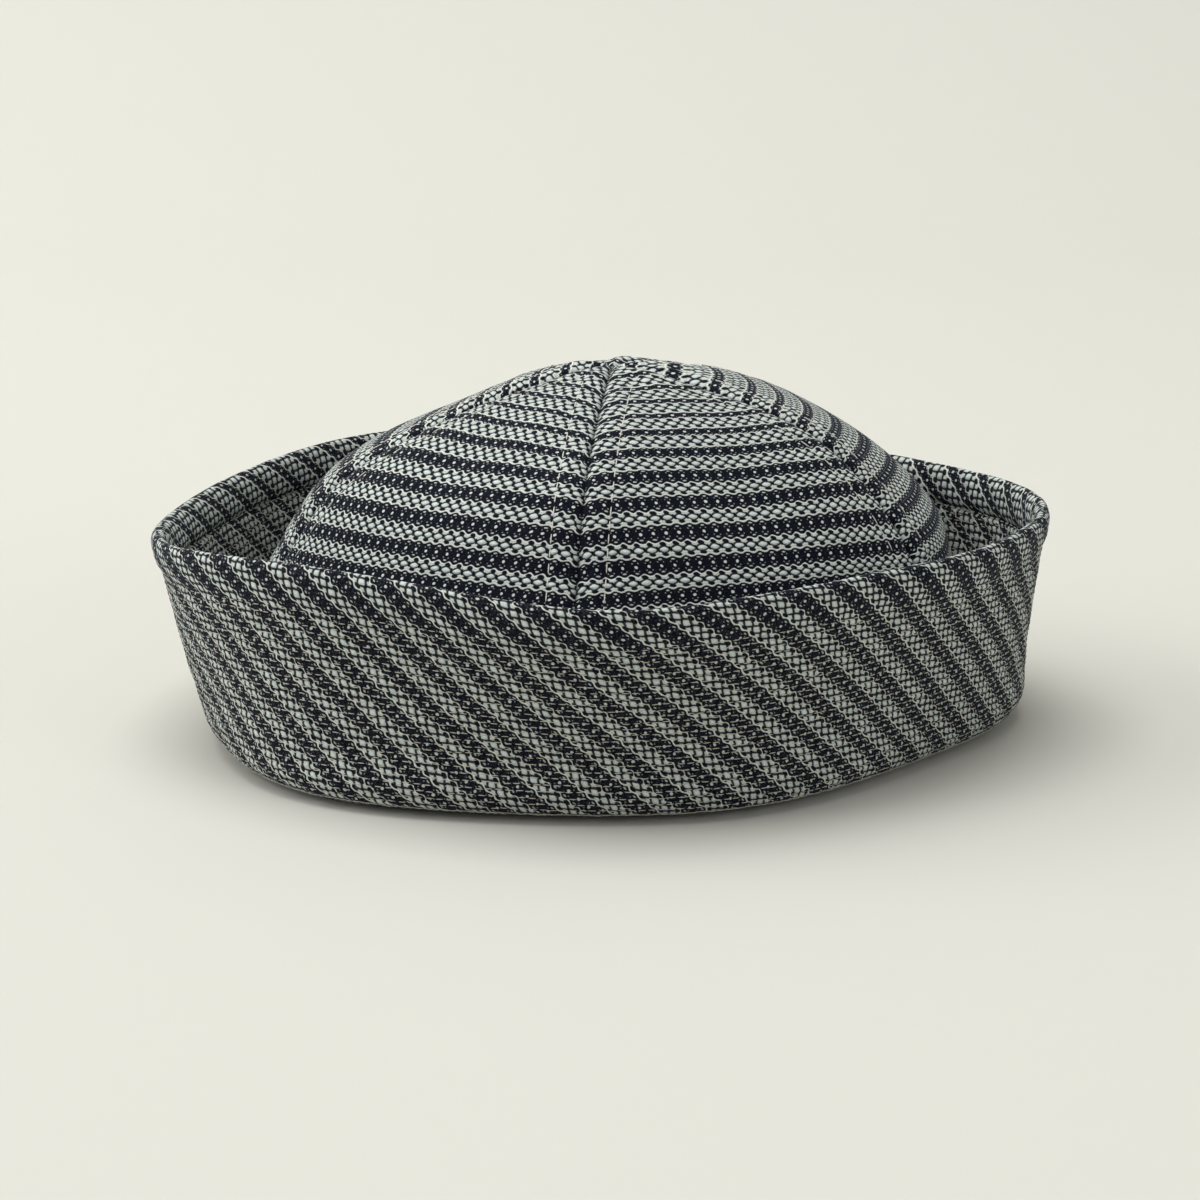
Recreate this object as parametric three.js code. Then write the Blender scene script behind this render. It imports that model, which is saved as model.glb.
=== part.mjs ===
// A sailor cap of striped cloth: a crown of sewn gores standing inside a deep turned-up brim.
// Millimetres, +Z up. The cap rests on the fold where the brim turns up, at Z = 0.
// Azimuth 0 is the front, on -Y, and azimuth 90 is the right side, on +X.
import * as THREE from "three";

// Driving sizes of the brim, a band of cloth doubled over at its top edge
const foldHalfWidth = 100;
const foldHalfDepth = 94;
const brimDepth = 55;
const brimWall = 3;
const rolledEdgeDepth = 10;
const rolledEdgeWall = 4.4;
const foldRound = 3;
const turningWidth = 8;
const turningThickness = 2;

// Driving sizes of the crown
const crownHeight = 90;
const crownWall = 1.8;
const goreCount = 5;
const firstSeamAzimuth = -7;
const seamGrooveDepth = 1;
const seamGrooveWidth = 3.5;
const tipRadius = 1;

// Clearances between the pieces
const seamClearance = 0.3;
const seatClearance = 0.3;
const standingClearance = 0.8;

// How finely the cloth is faceted
const brimSteps = 96;
const goreColumns = 12;
const goreRows = 13;

// The brim round the head, a soft uneven oval. Each column is a smooth curve drawn towards its rows.
// fold is the radius at the fold as a share of the plain ellipse there. The others are shares of brimDepth:
// lean is how far the top edge stands out, bow how far the middle is drawn in, and deeper the extra depth.
const brimShape = [
  { azimuth: 0, fold: 0.89, lean: 0.305, bow: 0.015, deeper: -0.015 },
  { azimuth: 22.5, fold: 0.9, lean: 0.14, bow: 0.015, deeper: -0.01 },
  { azimuth: 45, fold: 0.85, lean: 0.165, bow: 0.02, deeper: 0.005 },
  { azimuth: 67.5, fold: 0.885, lean: 0.205, bow: 0.025, deeper: -0.01 },
  { azimuth: 90, fold: 1.06, lean: 0.06, bow: 0.025, deeper: 0 },
  { azimuth: 112.5, fold: 1.025, lean: 0.06, bow: 0.015, deeper: -0.035 },
  { azimuth: 135, fold: 0.915, lean: 0.1, bow: 0.015, deeper: -0.015 },
  { azimuth: 157.5, fold: 0.905, lean: 0.13, bow: 0.01, deeper: 0.005 },
  { azimuth: 180, fold: 0.96, lean: 0.165, bow: 0.015, deeper: 0 },
  { azimuth: 202.5, fold: 1.06, lean: 0.2, bow: 0.01, deeper: 0 },
  { azimuth: 225, fold: 1.04, lean: 0.14, bow: 0.005, deeper: 0.005 },
  { azimuth: 247.5, fold: 0.955, lean: 0.19, bow: -0.005, deeper: -0.02 },
  { azimuth: 270, fold: 0.98, lean: 0.225, bow: -0.015, deeper: -0.055 },
  { azimuth: 292.5, fold: 1.005, lean: 0.28, bow: -0.01, deeper: 0.005 },
  { azimuth: 315, fold: 1.06, lean: -0.035, bow: 0, deeper: 0.04 },
  { azimuth: 337.5, fold: 0.92, lean: 0.16, bow: 0.01, deeper: 0.015 },
];

// The crown from its base to its tip. height is a share of crownHeight, and the others are shares of
// the dome's half width and half depth: radius is the reach, right and back are how much more it
// reaches to that side, and flat is how far the middle of a gore lies inside the seams beside it.
const crownShape = [
  { height: 0, radius: 1, right: 0, back: 0.04, flat: 0.05 },
  { height: 0.35, radius: 0.927, right: 0, back: 0.057, flat: 0.06 },
  { height: 0.55, radius: 0.848, right: 0.02, back: 0.095, flat: 0.04 },
  { height: 0.72, radius: 0.723, right: 0.025, back: 0.075, flat: 0.07 },
  { height: 0.86, radius: 0.509, right: 0.055, back: 0.03, flat: 0.11 },
  { height: 0.95, radius: 0.265, right: 0.045, back: 0.03, flat: 0.11 },
  { height: 1, radius: 0, right: 0, back: 0, flat: 0.1 },
];
const hiddenBaseShare = 0.5;

const fullTurn = 360;
const goreAngle = fullTurn / goreCount;
const radians = THREE.MathUtils.degToRad;

// Smooth curve through four neighbouring values, between the middle two.
function smoothBetween(before, from, to, after, share) {
  const slope = to - before;
  const bend = 2 * before - 5 * from + 4 * to - after;
  const twist = 3 * (from - to) + after - before;
  return from + 0.5 * share * (slope + share * (bend + share * twist));
}

// Value of a brim column at any azimuth.
function brimValue(column, azimuth) {
  const count = brimShape.length;
  const place = (THREE.MathUtils.euclideanModulo(azimuth, fullTurn) / fullTurn) * count;
  const row = Math.floor(place);
  const share = place - row;
  const at = (step) => brimShape[(row + step + count) % count][column];
  const before = (1 - share) ** 3 * at(-1);
  const from = (3 * share ** 3 - 6 * share ** 2 + 4) * at(0);
  const to = (4 - 6 * (1 - share) ** 2 + 3 * (1 - share) ** 3) * at(1);
  return (before + from + to + share ** 3 * at(2)) / 6;
}

// Value of a crown column at a share of the way up its rows. Past the tip it mirrors.
function crownValue(column, share) {
  const last = crownShape.length - 1;
  const place = share * last;
  const row = Math.min(Math.floor(place), last - 1);
  const first = crownShape[0][column];
  const below = row > 0 ? crownShape[row - 1][column] : 2 * first - crownShape[1][column];
  const mirrored = column === "radius" ? -crownShape[last - 1][column] : crownShape[last - 1][column];
  const above = row + 2 > last ? mirrored : crownShape[row + 2][column];
  return smoothBetween(below, crownShape[row][column], crownShape[row + 1][column], above, place - row);
}

// Radius of the brim's outer face at the fold.
function foldRadius(azimuth) {
  const turn = radians(azimuth);
  const ellipse = 1 / Math.hypot(Math.sin(turn) / foldHalfWidth, Math.cos(turn) / foldHalfDepth);
  return ellipse * brimValue("fold", azimuth);
}

// Height of the brim's top edge over the fold.
function brimRise(azimuth) {
  return brimDepth * Math.sqrt((1 + brimValue("deeper", azimuth)) ** 2 - brimValue("lean", azimuth) ** 2);
}

// Radius of the brim's outer face at a share of its rise.
function brimFace(azimuth, share) {
  const lean = brimDepth * brimValue("lean", azimuth);
  const bow = brimDepth * brimValue("bow", azimuth);
  return foldRadius(azimuth) + lean * share - 4 * bow * share * (1 - share);
}

// Point at a radius and height on an azimuth.
function around(azimuth, radius, height) {
  const turn = radians(azimuth);
  return new THREE.Vector3(radius * Math.sin(turn), -radius * Math.cos(turn), height);
}

// Closed section of the brim at an azimuth, from under the fold, up the outer face and down the inner.
function brimSection(azimuth) {
  const fold = foldRadius(azimuth);
  const rise = brimRise(azimuth);
  const bulge = (rolledEdgeWall - brimWall) / 2;
  const sewnShare = 1 - rolledEdgeDepth / brimDepth;
  const rolledShare = (part) => sewnShare + (1 - sewnShare) * part;
  const face = (share, inwards) => around(azimuth, brimFace(azimuth, share) - inwards, rise * share);
  const roundSide = Math.SQRT1_2 * foldRound;
  return [
    around(azimuth, fold - foldRound, 0),
    around(azimuth, fold - foldRound + roundSide, foldRound - roundSide),
    face(foldRound / rise, 0),
    face(0.35, 0),
    face(0.6, 0),
    face(sewnShare, 0),
    face(rolledShare(0.3), -bulge),
    face(rolledShare(0.75), -bulge),
    face(rolledShare(0.95), 0.2 * brimWall),
    face(1, 0.5 * brimWall),
    face(rolledShare(0.95), 0.8 * brimWall),
    face(rolledShare(0.75), brimWall + bulge),
    face(rolledShare(0.3), brimWall + bulge),
    face(sewnShare, brimWall),
    face(0.6, brimWall),
    face(0.35, brimWall),
    around(azimuth, fold - brimWall, turningThickness),
    around(azimuth, fold - turningWidth, 0.6 * turningThickness),
    around(azimuth, fold - turningWidth, 0),
  ];
}

// Crown's outer surface at an azimuth and a share of the way up, as radius and height.
function crownSurface(azimuth, share) {
  const turn = radians(azimuth);
  const heightShare = crownValue("height", share);
  const right = crownValue("right", share) * Math.sin(turn);
  const back = -crownValue("back", share) * Math.cos(turn);
  const acrossGore = THREE.MathUtils.euclideanModulo(azimuth - firstSeamAzimuth, goreAngle) / goreAngle;
  const fromMiddle = Math.abs(2 * acrossGore - 1);
  const flat = 1 - crownValue("flat", share) * (1 - fromMiddle ** 2);
  const seat = brimWall + seatClearance;
  const domeWidth = (foldHalfWidth - seat) * Math.sin(turn);
  const domeDepth = (foldHalfDepth - seat) * Math.cos(turn);
  const dome = Math.hypot(domeWidth, domeDepth) * (crownValue("radius", share) + right + back) * flat;
  const seatHeight = turningThickness + seatClearance;
  const height = seatHeight + (crownHeight - seatHeight) * heightShare;
  const base = foldRadius(azimuth) - seat;
  const risen = THREE.MathUtils.smoothstep(heightShare, 0, hiddenBaseShare);
  const insideBrim = brimFace(azimuth, Math.min(height / brimRise(azimuth), 1)) - rolledEdgeWall - standingClearance;
  const standing = height < brimRise(azimuth) ? Math.min(dome, insideBrim) : dome;
  const smooth = THREE.MathUtils.lerp(base, standing, risen);
  const toSeam = radians(goreAngle) * 0.5 * (1 - fromMiddle) * smooth;
  const groove = seamGrooveDepth * risen * Math.exp(-((toSeam / seamGrooveWidth) ** 2));
  const upright = Math.min(1, smooth / crownHeight);
  return new THREE.Vector2(Math.max(smooth - groove * upright, tipRadius), height - groove * (1 - upright));
}

// Point on a gore, pushed in from the outer surface. across runs from -1 to 1 between its seams.
function gorePoint(gore, across, share, inwards) {
  const middle = firstSeamAzimuth + goreAngle * (gore + 0.5);
  const step = 0.01;
  const outer = crownSurface(middle + across * goreAngle * 0.5, share);
  const lower = crownSurface(middle + across * goreAngle * 0.5, Math.max(share - step, 0));
  const upper = crownSurface(middle + across * goreAngle * 0.5, Math.min(share + step, 1));
  const run = upper.sub(lower).normalize();
  const radius = Math.max(outer.x - inwards * run.y, 0.6 * tipRadius);
  const height = outer.y + inwards * run.x;
  const halfGap = THREE.MathUtils.radToDeg(Math.asin(0.5 * seamClearance / radius));
  return around(middle + across * (goreAngle * 0.5 - halfGap), radius, height);
}

// Geometry of one closed body from its points and faces.
function closedBody(points, faces) {
  const geometry = new THREE.BufferGeometry();
  geometry.setAttribute("position", new THREE.Float32BufferAttribute(points.flatMap((point) => point.toArray()), 3));
  geometry.setIndex(faces);
  geometry.computeVertexNormals();
  return geometry;
}

// Two triangles of a four-sided face.
function quad(a, b, c, d) {
  return [a, b, c, a, c, d];
}

// A ring swept through closed sections that all have the same number of points.
function ringGeometry(sections) {
  const size = sections[0].length;
  const faces = [];
  sections.forEach((section, index) => {
    const here = index * size;
    const next = ((index + 1) % sections.length) * size;
    section.forEach((point, corner) => {
      const other = (corner + 1) % size;
      faces.push(...quad(here + corner, next + corner, next + other, here + other));
    });
  });
  return closedBody(sections.flat(), faces);
}

// One gore: an outer and an inner sheet of the same grid, joined round their edges.
function goreGeometry(gore) {
  const columns = goreColumns + 1;
  const rows = goreRows + 1;
  const sheet = (inwards) => {
    const points = [];
    for (let row = 0; row < rows; row += 1) {
      for (let column = 0; column < columns; column += 1) {
        const across = Math.sin(Math.PI * (column / goreColumns - 0.5));
        points.push(gorePoint(gore, across, row / goreRows, inwards));
      }
    }
    return points;
  };
  const outer = (row, column) => row * columns + column;
  const inner = (row, column) => rows * columns + outer(row, column);
  const faces = [];
  for (let row = 0; row < goreRows; row += 1) {
    for (let column = 0; column < goreColumns; column += 1) {
      faces.push(...quad(outer(row, column), outer(row, column + 1), outer(row + 1, column + 1), outer(row + 1, column)));
      faces.push(...quad(inner(row, column), inner(row + 1, column), inner(row + 1, column + 1), inner(row, column + 1)));
    }
    faces.push(...quad(outer(row, 0), outer(row + 1, 0), inner(row + 1, 0), inner(row, 0)));
    const end = goreColumns;
    faces.push(...quad(outer(row, end), inner(row, end), inner(row + 1, end), outer(row + 1, end)));
  }
  for (let column = 0; column < goreColumns; column += 1) {
    faces.push(...quad(outer(0, column), inner(0, column), inner(0, column + 1), outer(0, column + 1)));
    const top = goreRows;
    faces.push(...quad(outer(top, column), outer(top, column + 1), inner(top, column + 1), inner(top, column)));
  }
  return closedBody([...sheet(0), ...sheet(crownWall)], faces);
}

// Named mesh of a cloth piece.
function clothMesh(name, geometry, colour) {
  const cloth = new THREE.MeshStandardMaterial({ color: colour, roughness: 0.92, metalness: 0 });
  const mesh = new THREE.Mesh(geometry, cloth);
  mesh.name = name;
  return mesh;
}

const cap = new THREE.Group();
const brimSections = Array.from({ length: brimSteps }, (unused, step) => brimSection((step * fullTurn) / brimSteps));
cap.add(clothMesh("brim", ringGeometry(brimSections), 0x6d7880));
for (let gore = 0; gore < goreCount; gore += 1) {
  cap.add(clothMesh(`crown_panel_${gore + 1}`, goreGeometry(gore), 0x7c8890));
}

// The plan's centre goes to the origin.
const outline = new THREE.Box3().setFromPoints(brimSections.flat());
const centre = outline.getCenter(new THREE.Vector3());
cap.position.set(-centre.x, -centre.y, 0);

export default cap;
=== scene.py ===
"""Sailor cap: a crown of five striped gores standing in a deep, row-stitched, turned-up brim.

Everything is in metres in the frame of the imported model. Cloth sizes are written in millimetres, as a
maker measures them, and become metres where a mesh is made.
"""
import logging
import math
import random
from dataclasses import dataclass, field
from enum import Enum
from typing import NamedTuple

import bmesh
import bpy
import numpy as np
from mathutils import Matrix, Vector, noise


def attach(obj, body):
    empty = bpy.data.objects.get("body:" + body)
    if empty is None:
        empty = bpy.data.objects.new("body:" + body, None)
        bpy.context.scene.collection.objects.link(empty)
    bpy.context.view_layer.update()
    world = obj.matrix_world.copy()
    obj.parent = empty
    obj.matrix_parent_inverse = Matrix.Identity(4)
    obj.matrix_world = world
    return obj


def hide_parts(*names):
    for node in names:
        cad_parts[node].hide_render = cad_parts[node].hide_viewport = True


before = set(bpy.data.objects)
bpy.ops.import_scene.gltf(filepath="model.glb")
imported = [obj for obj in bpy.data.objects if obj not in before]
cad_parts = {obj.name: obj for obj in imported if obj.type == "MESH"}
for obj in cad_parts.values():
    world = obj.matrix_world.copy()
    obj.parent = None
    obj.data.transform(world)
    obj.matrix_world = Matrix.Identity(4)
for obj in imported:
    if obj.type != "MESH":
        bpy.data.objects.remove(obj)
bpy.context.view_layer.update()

log = logging.getLogger("sailor_cap")

MM = 0.001
FULL_TURN = 360.0
FRONT_SEAM_AZIMUTH = -7.0

Socket = bpy.types.NodeSocket
Operand = Socket | float


class Shape(Enum):
    """Outlines that a woven figure can have, as the power that its two half widths are raised to."""

    ELLIPSE = 2.0
    LOZENGE = 1.6
    DIAMOND = 1.2


class Side(Enum):
    """The two faces of the doubled brim, as the way from the middle of the cloth outwards."""

    OUTER = 1
    INNER = -1


def linear(red: int, green: int, blue: int) -> tuple[float, float, float, float]:
    """Turn a display colour into the linear colour that a shader takes.

    Args:
        red: red from 0 to 255.
        green: green from 0 to 255.
        blue: blue from 0 to 255.

    Returns:
        The linear colour with full alpha.
    """
    def channel(value: int) -> float:
        """Return one linear channel."""
        share = value / 255
        return share / 12.92 if share <= 0.04045 else ((share + 0.055) / 1.055) ** 2.4

    return channel(red), channel(green), channel(blue), 1.0


def smooth_step(value: float, low: float, high: float) -> float:
    """Return 0 below low and 1 above high, with a smooth rise between them."""
    share = min(max((value - low) / (high - low), 0.0), 1.0)
    return share * share * (3 - 2 * share)


def around(azimuth: float, radius: float, height: float) -> Vector:
    """Return the point at a radius and height on an azimuth, which is 0 at the front and 90 at the right."""
    turn = math.radians(azimuth)
    return Vector((radius * math.sin(turn), -radius * math.cos(turn), height))


class BrimColumn(NamedTuple):
    """The brim at one azimuth: its four shares, the radius at its fold and the height of its edge."""

    fold: float
    lean: float
    bow: float
    deeper: float
    fold_radius: float
    rise: float


@dataclass
class BrimShape:
    """The brim as an uneven oval band that leans outwards, in millimetres.

    Each row is (fold, lean, bow, deeper) for one azimuth, from the front round by the right. fold is the
    radius at the fold as a share of the plain ellipse there. The others are shares of the depth: lean is
    how far the top edge stands out, bow how far the middle is drawn in, and deeper the extra depth.
    """

    fold_half_width: float = 100.0
    fold_half_depth: float = 94.0
    depth: float = 55.0
    wall: float = 3.0
    rolled_depth: float = 10.0
    rolled_wall: float = 4.4
    fold_round: float = 3.0
    turning_width: float = 8.0
    turning_thickness: float = 2.0
    rows: tuple[tuple[float, float, float, float], ...] = (
        (0.89, 0.305, 0.015, -0.015),
        (0.9, 0.14, 0.015, -0.01),
        (0.85, 0.165, 0.02, 0.005),
        (0.885, 0.205, 0.025, -0.01),
        (1.06, 0.06, 0.025, 0.0),
        (1.025, 0.06, 0.015, -0.035),
        (0.915, 0.1, 0.015, -0.015),
        (0.905, 0.13, 0.01, 0.005),
        (0.96, 0.165, 0.015, 0.0),
        (1.06, 0.2, 0.01, 0.0),
        (1.04, 0.14, 0.005, 0.005),
        (0.955, 0.19, -0.005, -0.02),
        (0.98, 0.225, -0.015, -0.055),
        (1.005, 0.28, -0.01, 0.005),
        (1.06, -0.035, 0.0, 0.04),
        (0.92, 0.16, 0.01, 0.015),
    )
    known: dict[float, BrimColumn] = field(default_factory=dict)

    def column(self, azimuth: float) -> BrimColumn:
        """Return the brim at any azimuth, on a smooth curve drawn towards the rows."""
        if azimuth in self.known:
            return self.known[azimuth]
        count = len(self.rows)
        place = (azimuth % FULL_TURN) / FULL_TURN * count
        row = math.floor(place)
        share = place - row
        weights = (
            (1 - share) ** 3,
            3 * share ** 3 - 6 * share ** 2 + 4,
            4 - 6 * (1 - share) ** 2 + 3 * (1 - share) ** 3,
            share ** 3,
        )
        near = [self.rows[(row + step) % count] for step in (-1, 0, 1, 2)]
        fold, lean, bow, deeper = (
            sum(weight * values[place] for weight, values in zip(weights, near)) / 6 for place in range(4)
        )
        turn = math.radians(azimuth)
        ellipse = 1 / math.hypot(math.sin(turn) / self.fold_half_width, math.cos(turn) / self.fold_half_depth)
        rise = self.depth * math.sqrt((1 + deeper) ** 2 - lean ** 2)
        self.known[azimuth] = BrimColumn(fold, lean, bow, deeper, ellipse * fold, rise)
        return self.known[azimuth]

    def fold_radius(self, azimuth: float) -> float:
        """Return the radius of the outer face at the fold."""
        return self.column(azimuth).fold_radius

    def rise(self, azimuth: float) -> float:
        """Return the height of the top edge over the fold."""
        return self.column(azimuth).rise

    def face_radius(self, azimuth: float, share: float) -> float:
        """Return the radius of the outer face at a share of the rise."""
        here = self.column(azimuth)
        return here.fold_radius + self.depth * (here.lean * share - 4 * here.bow * share * (1 - share))


@dataclass
class CrownShape:
    """The crown as a dome of gores that comes up inside the brim, in millimetres.

    Each row is (height, radius, right, back, flat) from the base to the tip. height is a share of the
    crown's height, and the others are shares of the dome's half width and half depth: radius is the reach,
    right and back are how much more it reaches to that side, and flat is how far the middle of a gore lies
    inside the seams beside it.
    """

    brim: BrimShape
    height: float = 90.0
    wall: float = 1.8
    gores: int = 5
    seat_clearance: float = 0.3
    standing_clearance: float = 0.8
    hidden_base_share: float = 0.5
    rows: tuple[tuple[float, float, float, float, float], ...] = (
        (0.0, 1.0, 0.0, 0.04, 0.05),
        (0.35, 0.927, 0.0, 0.057, 0.06),
        (0.55, 0.848, 0.02, 0.095, 0.04),
        (0.72, 0.723, 0.025, 0.075, 0.07),
        (0.86, 0.509, 0.055, 0.03, 0.11),
        (0.95, 0.265, 0.045, 0.03, 0.11),
        (1.0, 0.0, 0.0, 0.0, 0.1),
    )
    known: dict[float, list[float]] = field(default_factory=dict)

    @property
    def gore_angle(self) -> float:
        """Return the angle that one gore takes up."""
        return FULL_TURN / self.gores

    def values(self, share: float) -> list[float]:
        """Return the row's values at a share of the way up, on a curve that mirrors past the tip."""
        if share in self.known:
            return self.known[share]
        last = len(self.rows) - 1
        place = share * last
        row = min(math.floor(place), last - 1)
        part = place - row
        here, there = self.rows[row], self.rows[row + 1]
        found = []
        for column in range(len(here)):
            before = self.rows[row - 1][column] if row else 2 * here[column] - there[column]
            mirrored = -here[column] if column == 1 else here[column]
            after = mirrored if row + 2 > last else self.rows[row + 2][column]
            slope = there[column] - before
            bend = 2 * before - 5 * here[column] + 4 * there[column] - after
            twist = 3 * (here[column] - there[column]) + after - before
            found.append(here[column] + 0.5 * part * (slope + part * (bend + part * twist)))
        self.known[share] = found
        return found

    def from_middle(self, azimuth: float) -> float:
        """Return 0 in the middle of a gore and 1 at its seams."""
        across = ((azimuth - FRONT_SEAM_AZIMUTH) % self.gore_angle) / self.gore_angle
        return abs(2 * across - 1)

    def surface(self, azimuth: float, share: float) -> tuple[float, float]:
        """Return the radius and height of the cloth's outer face, without its seams."""
        height_share, radius, right, back, flat = self.values(share)
        turn = math.radians(azimuth)
        seat = self.brim.wall + self.seat_clearance
        dome = math.hypot(
            (self.brim.fold_half_width - seat) * math.sin(turn),
            (self.brim.fold_half_depth - seat) * math.cos(turn),
        )
        dome *= radius + right * math.sin(turn) - back * math.cos(turn)
        dome *= 1 - flat * (1 - self.from_middle(azimuth) ** 2)
        seat_height = self.brim.turning_thickness + self.seat_clearance
        height = seat_height + (self.height - seat_height) * height_share
        base = self.brim.fold_radius(azimuth) - seat
        risen = smooth_step(height_share, 0, self.hidden_base_share)
        rise = self.brim.rise(azimuth)
        if height < rise:
            face = self.brim.face_radius(azimuth, height / rise)
            dome = min(dome, face - self.brim.rolled_wall - self.standing_clearance)
        return base + (dome - base) * risen, height


def plan_centre(shape: BrimShape) -> Vector:
    """Return the middle of the brim's plan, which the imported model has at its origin.

    Args:
        shape: the brim whose outline is measured.

    Returns:
        The middle of the outline's box in millimetres, at height 0.
    """
    turns = range(int(FULL_TURN))
    edge = [around(turn, shape.face_radius(turn, 1.0), 0) for turn in turns]
    fold = [around(turn, shape.fold_radius(turn), 0) for turn in turns]
    points = edge + fold
    low = Vector((min(p.x for p in points), min(p.y for p in points), 0))
    high = Vector((max(p.x for p in points), max(p.y for p in points), 0))
    return (low + high) / 2


def mesh_object(name: str, mesh_source: bmesh.types.BMesh, material: bpy.types.Material) -> bpy.types.Object:
    """Make a smooth-shaded object from a bmesh and free the bmesh.

    Args:
        name: name of the object and its mesh.
        mesh_source: the finished shape in metres.
        material: the finish of every face.

    Returns:
        The linked object, at the origin.
    """
    mesh = bpy.data.meshes.new(name)
    for face in mesh_source.faces:
        face.smooth = True
    mesh_source.to_mesh(mesh)
    mesh_source.free()
    mesh.materials.append(material)
    piece = bpy.data.objects.new(name, mesh)
    bpy.context.scene.collection.objects.link(piece)
    return piece


@dataclass
class Graph:
    """A short way to write sums on a material's node tree."""

    tree: bpy.types.NodeTree

    def node(self, kind: str, **settings: object) -> bpy.types.Node:
        """Add a node and set its own properties."""
        made = self.tree.nodes.new(kind)
        for key, value in settings.items():
            setattr(made, key, value)
        return made

    def feed(self, socket: Socket, value: Operand | tuple[float, ...]) -> None:
        """Link a socket to another one, or give it a plain value."""
        if isinstance(value, bpy.types.NodeSocket):
            self.tree.links.new(value, socket)
        else:
            socket.default_value = value

    def math(self, operation: str, *values: Operand) -> Socket:
        """Return the result of a Math node."""
        made = self.node("ShaderNodeMath", operation=operation)
        for socket, value in zip(made.inputs, values):
            self.feed(socket, value)
        return made.outputs[0]

    def times(self, first: Operand, second: Operand) -> Socket:
        """Return a product."""
        return self.math("MULTIPLY", first, second)

    def minus(self, first: Operand, second: Operand) -> Socket:
        """Return a difference."""
        return self.math("SUBTRACT", first, second)

    def larger(self, first: Operand, second: Operand) -> Socket:
        """Return the larger of two values."""
        return self.math("MAXIMUM", first, second)

    def total(self, *values: Operand) -> Socket:
        """Return the sum of several values."""
        result = values[0]
        for value in values[1:]:
            result = self.math("ADD", result, value)
        return result

    def rise(self, value: Operand, softness: float) -> Socket:
        """Return 0 below zero and 1 above it, with a smooth rise of twice the softness."""
        made = self.node("ShaderNodeMapRange", interpolation_type="SMOOTHSTEP")
        self.feed(made.inputs["Value"], value)
        made.inputs["From Min"].default_value = -softness
        made.inputs["From Max"].default_value = softness
        return made.outputs["Result"]

    def reach(self, across: Operand, down: Operand, width: float, height: float, shape: Shape) -> Socket:
        """Return how far a place lies from the middle of a woven figure, as a share of its outline.

        Args:
            across: distance from its middle along the stripe.
            down: distance from its middle across the stripe.
            width: its width.
            height: its height.
            shape: its outline.

        Returns:
            A value that is 0 in the middle and 1 on the outline.
        """
        power = shape.value
        sides = []
        for distance, half in ((across, width / 2), (down, height / 2)):
            share = self.math("DIVIDE", self.math("ABSOLUTE", distance), half)
            sides.append(self.math("POWER", share, power))
        return self.math("POWER", self.total(*sides), 1 / power)

    def inside(self, reach: Socket, soft: float) -> Socket:
        """Return a figure's mask, with an edge that is blurred by a share of its half width."""
        return self.rise(self.minus(1.0, reach), soft)

    def dome(self, reach: Socket) -> Socket:
        """Return the rounded height of a figure, from 1 in the middle to 0 on the outline."""
        fallen = self.math("MULTIPLY_ADD", self.times(reach, reach), -1.0, 1.0)
        return self.larger(fallen, 0.0)

    def hairline(self, place: Socket, where: float, width: float) -> Socket:
        """Return the mask of a thin line across a place's own scale."""
        beside = self.math("ABSOLUTE", self.minus(place, where))
        return self.rise(self.minus(width / 2, beside), width / 2)

    def mix(self, share: Operand, first: Operand | tuple, second: Operand | tuple) -> Socket:
        """Return a colour between two colours."""
        made = self.node("ShaderNodeMix", data_type="RGBA", clamp_factor=True)
        self.feed(made.inputs["Factor"], share)
        self.feed(made.inputs[6], first)
        self.feed(made.inputs[7], second)
        return made.outputs[2]

    def noise(self, vector: Socket, scale: float, detail: float = 2.0) -> Socket:
        """Return a smooth noise of about 0 to 1."""
        made = self.node("ShaderNodeTexNoise")
        self.feed(made.inputs["Vector"], vector)
        made.inputs["Scale"].default_value = scale
        made.inputs["Detail"].default_value = detail
        return made.outputs["Fac"]


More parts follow.
